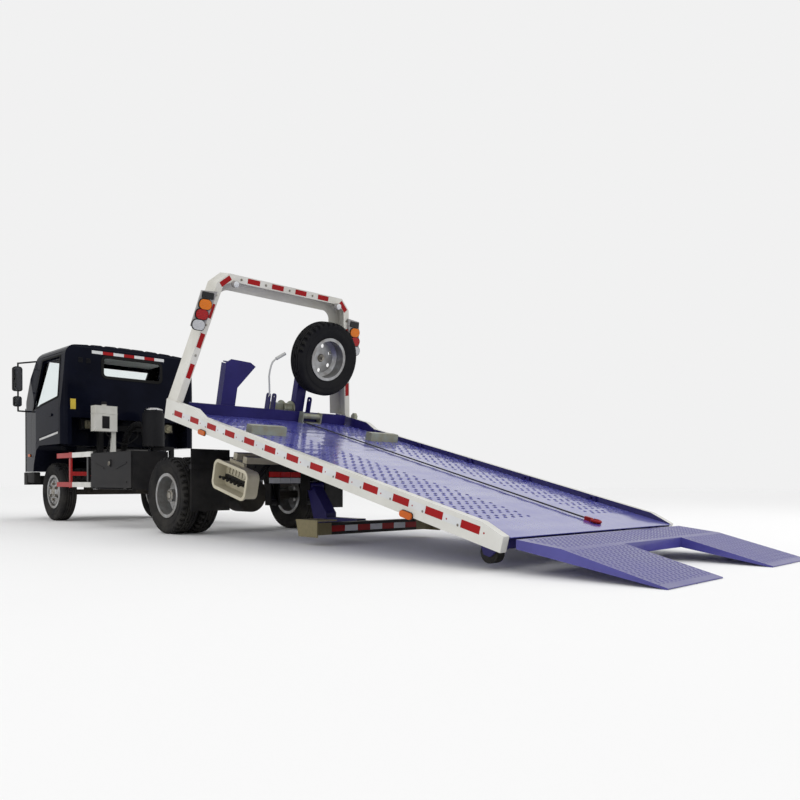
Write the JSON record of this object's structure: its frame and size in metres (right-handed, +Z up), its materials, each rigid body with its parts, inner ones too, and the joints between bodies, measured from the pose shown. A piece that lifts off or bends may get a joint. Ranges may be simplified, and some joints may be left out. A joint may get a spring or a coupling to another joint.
{
  "type": "tow truck",
  "caption": "Light cab-over tow truck with a sliding, tilting flat bed run back to the ground, a forked tail ramp, a headboard with spare wheel and winch, and an under-bed wheel lift.",
  "frame": {"origin": "middle of the footprint on the ground, halfway between bumper and ramp tips", "axes": "+X towards the cab, +Y to the driver's left, +Z up"},
  "size_m": [9.6, 2.15, 2.5083],
  "materials": {
    "frame_paint": "satin",
    "cast": "matte",
    "tyre": "matte",
    "rim_paint": "satin",
    "cab_paint": "gloss",
    "glass": "gloss",
    "trim": "matte",
    "white_paint": "gloss",
    "blue_paint": "gloss",
    "grey_paint": "satin",
    "lamp": "gloss",
    "cream_paint": "gloss",
    "zinc": "satin",
    "chrome_rod": "polished",
    "tank": "satin",
    "rubber": "matte",
    "rope": "matte",
    "lens": "gloss",
    "amber_lens": "gloss"
  },
  "bodies": {
    "chassis": {"chassis_frame": "frame_paint", "cab_hoop": "frame_paint", "front_axle": "cast", "rear_axle": "cast", "leaf_springs": "frame_paint", "engine": "cast", "driveshaft": "cast", "fuel_tank": "grey_paint", "toolbox": "grey_paint", "side_guards": "white_paint", "mud_flaps": "rubber", "front_bumper": "cab_paint", "tail_lamps": "lamp", "expansion_tank": "tank", "air_cleaner": "trim"},
    "knuckle_left": {"knuckle_left": "cast"},
    "knuckle_right": {"knuckle_right": "cast"},
    "front_left_wheel": {"front_left_tyre": "tyre", "front_left_rim": "rim_paint"},
    "front_right_wheel": {"front_right_tyre": "tyre", "front_right_rim": "rim_paint"},
    "rear_left_wheels": {"rear_left_tyres": "tyre", "rear_left_rims": "rim_paint"},
    "rear_right_wheels": {"rear_right_tyres": "tyre", "rear_right_rims": "rim_paint"},
    "cab": {"cab_shell": "cab_paint", "cab_glass": "glass", "cab_interior": "trim", "grille": "trim", "headlamps": "lens", "mirrors": "trim"},
    "door_left": {"door_left": "cab_paint", "door_left_glass": "glass"},
    "door_right": {"door_right": "cab_paint", "door_right_glass": "glass"},
    "tilt_frame": {"tilt_frame": "frame_paint", "control_box": "cream_paint", "control_levers": "trim", "slide_barrel": "grey_paint"},
    "bed": {"bed_deck": "blue_paint", "bed_frame": "blue_paint", "bed_rails": "white_paint", "headboard": "white_paint", "headboard_lamps": "grey_paint", "headboard_lenses": "amber_lens", "front_gear": "blue_paint", "spare_tyre": "tyre", "spare_rim": "rim_paint", "winch": "zinc", "winch_cable": "rope", "wheel_stops": "zinc", "slide_rod": "chrome_rod"},
    "ramp": {"ramp": "blue_paint"},
    "ground_rollers": {"ground_rollers": "rubber"},
    "tilt_barrels": {"tilt_barrels": "grey_paint"},
    "tilt_rods": {"tilt_rods": "chrome_rod"},
    "wheel_lift_arm": {"wheel_lift_arm": "blue_paint"},
    "wheel_lift_bar": {"wheel_lift_bar": "frame_paint"},
    "toolbox_door": {"toolbox_door": "grey_paint"}
  },
  "joints": [
    {"name": "bed_tilt", "type": "hinge", "parent": "chassis", "child": "tilt_frame", "pos_m": [-0.84996, 0, 0.66], "axis": [0, 1, 0], "range_deg": [0, 14.3]},
    {"name": "bed_slide", "type": "slide", "parent": "tilt_frame", "child": "bed", "axis": [0.969, 0, 0.247], "range_m": [0, 2.3]},
    {"name": "ramp_fold", "type": "hinge", "parent": "bed", "child": "ramp", "pos_m": [-3.88004, 0, 0.166], "axis": [0, 1, 0], "range_deg": [0, 90]},
    {"name": "roller_spin", "type": "hinge", "parent": "bed", "child": "ground_rollers", "pos_m": [-3.67015, 0, 0.09976], "axis": [0, 1, 0], "continuous": true},
    {"name": "tilt_barrel_swing", "type": "hinge", "parent": "chassis", "child": "tilt_barrels", "pos_m": [-0.39996, 0, 0.32], "axis": [0, 1, 0], "range_deg": [0, 11.55]},
    {"name": "tilt_rod_stroke", "type": "slide", "parent": "tilt_barrels", "child": "tilt_rods", "axis": [0.37, 0, 0.929], "range_m": [-0.1386, 0]},
    {"name": "wheel_lift_raise", "type": "hinge", "parent": "chassis", "child": "wheel_lift_arm", "pos_m": [-0.77996, 0, 0.48], "axis": [0, 1, 0], "range_deg": [0, 18]},
    {"name": "wheel_lift_extend", "type": "slide", "parent": "wheel_lift_arm", "child": "wheel_lift_bar", "axis": [-1, 0, 0], "range_m": [0, 0.4]},
    {"name": "steer_left", "type": "hinge", "parent": "chassis", "child": "knuckle_left", "pos_m": [3.76004, 0.6, 0.382], "axis": [0, 0, 1], "range_deg": [-35, 35]},
    {"name": "steer_right", "type": "hinge", "parent": "chassis", "child": "knuckle_right", "pos_m": [3.76004, -0.6, 0.382], "axis": [0, 0, 1], "range_deg": [-35, 35]},
    {"name": "front_left_spin", "type": "hinge", "parent": "knuckle_left", "child": "front_left_wheel", "pos_m": [3.76004, 0.702, 0.382], "axis": [0, 1, 0], "continuous": true},
    {"name": "front_right_spin", "type": "hinge", "parent": "knuckle_right", "child": "front_right_wheel", "pos_m": [3.76004, -0.702, 0.382], "axis": [0, 1, 0], "continuous": true},
    {"name": "rear_left_spin", "type": "hinge", "parent": "chassis", "child": "rear_left_wheels", "pos_m": [0.40004, 0.74, 0.382], "axis": [0, 1, 0], "continuous": true},
    {"name": "rear_right_spin", "type": "hinge", "parent": "chassis", "child": "rear_right_wheels", "pos_m": [0.40004, -0.74, 0.382], "axis": [0, 1, 0], "continuous": true},
    {"name": "cab_tilt", "type": "hinge", "parent": "chassis", "child": "cab", "pos_m": [4.73504, 0, 0.622], "axis": [0, 1, 0], "range_deg": [0, 45]},
    {"name": "door_left_open", "type": "hinge", "parent": "cab", "child": "door_left", "pos_m": [4.25304, 0.8975, 1.4], "axis": [0, 0, -1], "range_deg": [0, 65]},
    {"name": "door_right_open", "type": "hinge", "parent": "cab", "child": "door_right", "pos_m": [4.25304, -0.8975, 1.4], "axis": [0, 0, 1], "range_deg": [0, 65]},
    {"name": "toolbox_open", "type": "hinge", "parent": "chassis", "child": "toolbox_door", "pos_m": [1.75004, 0.895, 0.438], "axis": [-1, 0, 0], "range_deg": [0, 90]}
  ],
  "couplings": [
    {"joint": "tilt_barrel_swing", "follows": "bed_tilt", "ratio": 0.80681},
    {"joint": "tilt_rod_stroke", "follows": "bed_tilt", "m_per_rad": -0.55485},
    {"joint": "steer_right", "follows": "steer_left", "ratio": 1}
  ]
}
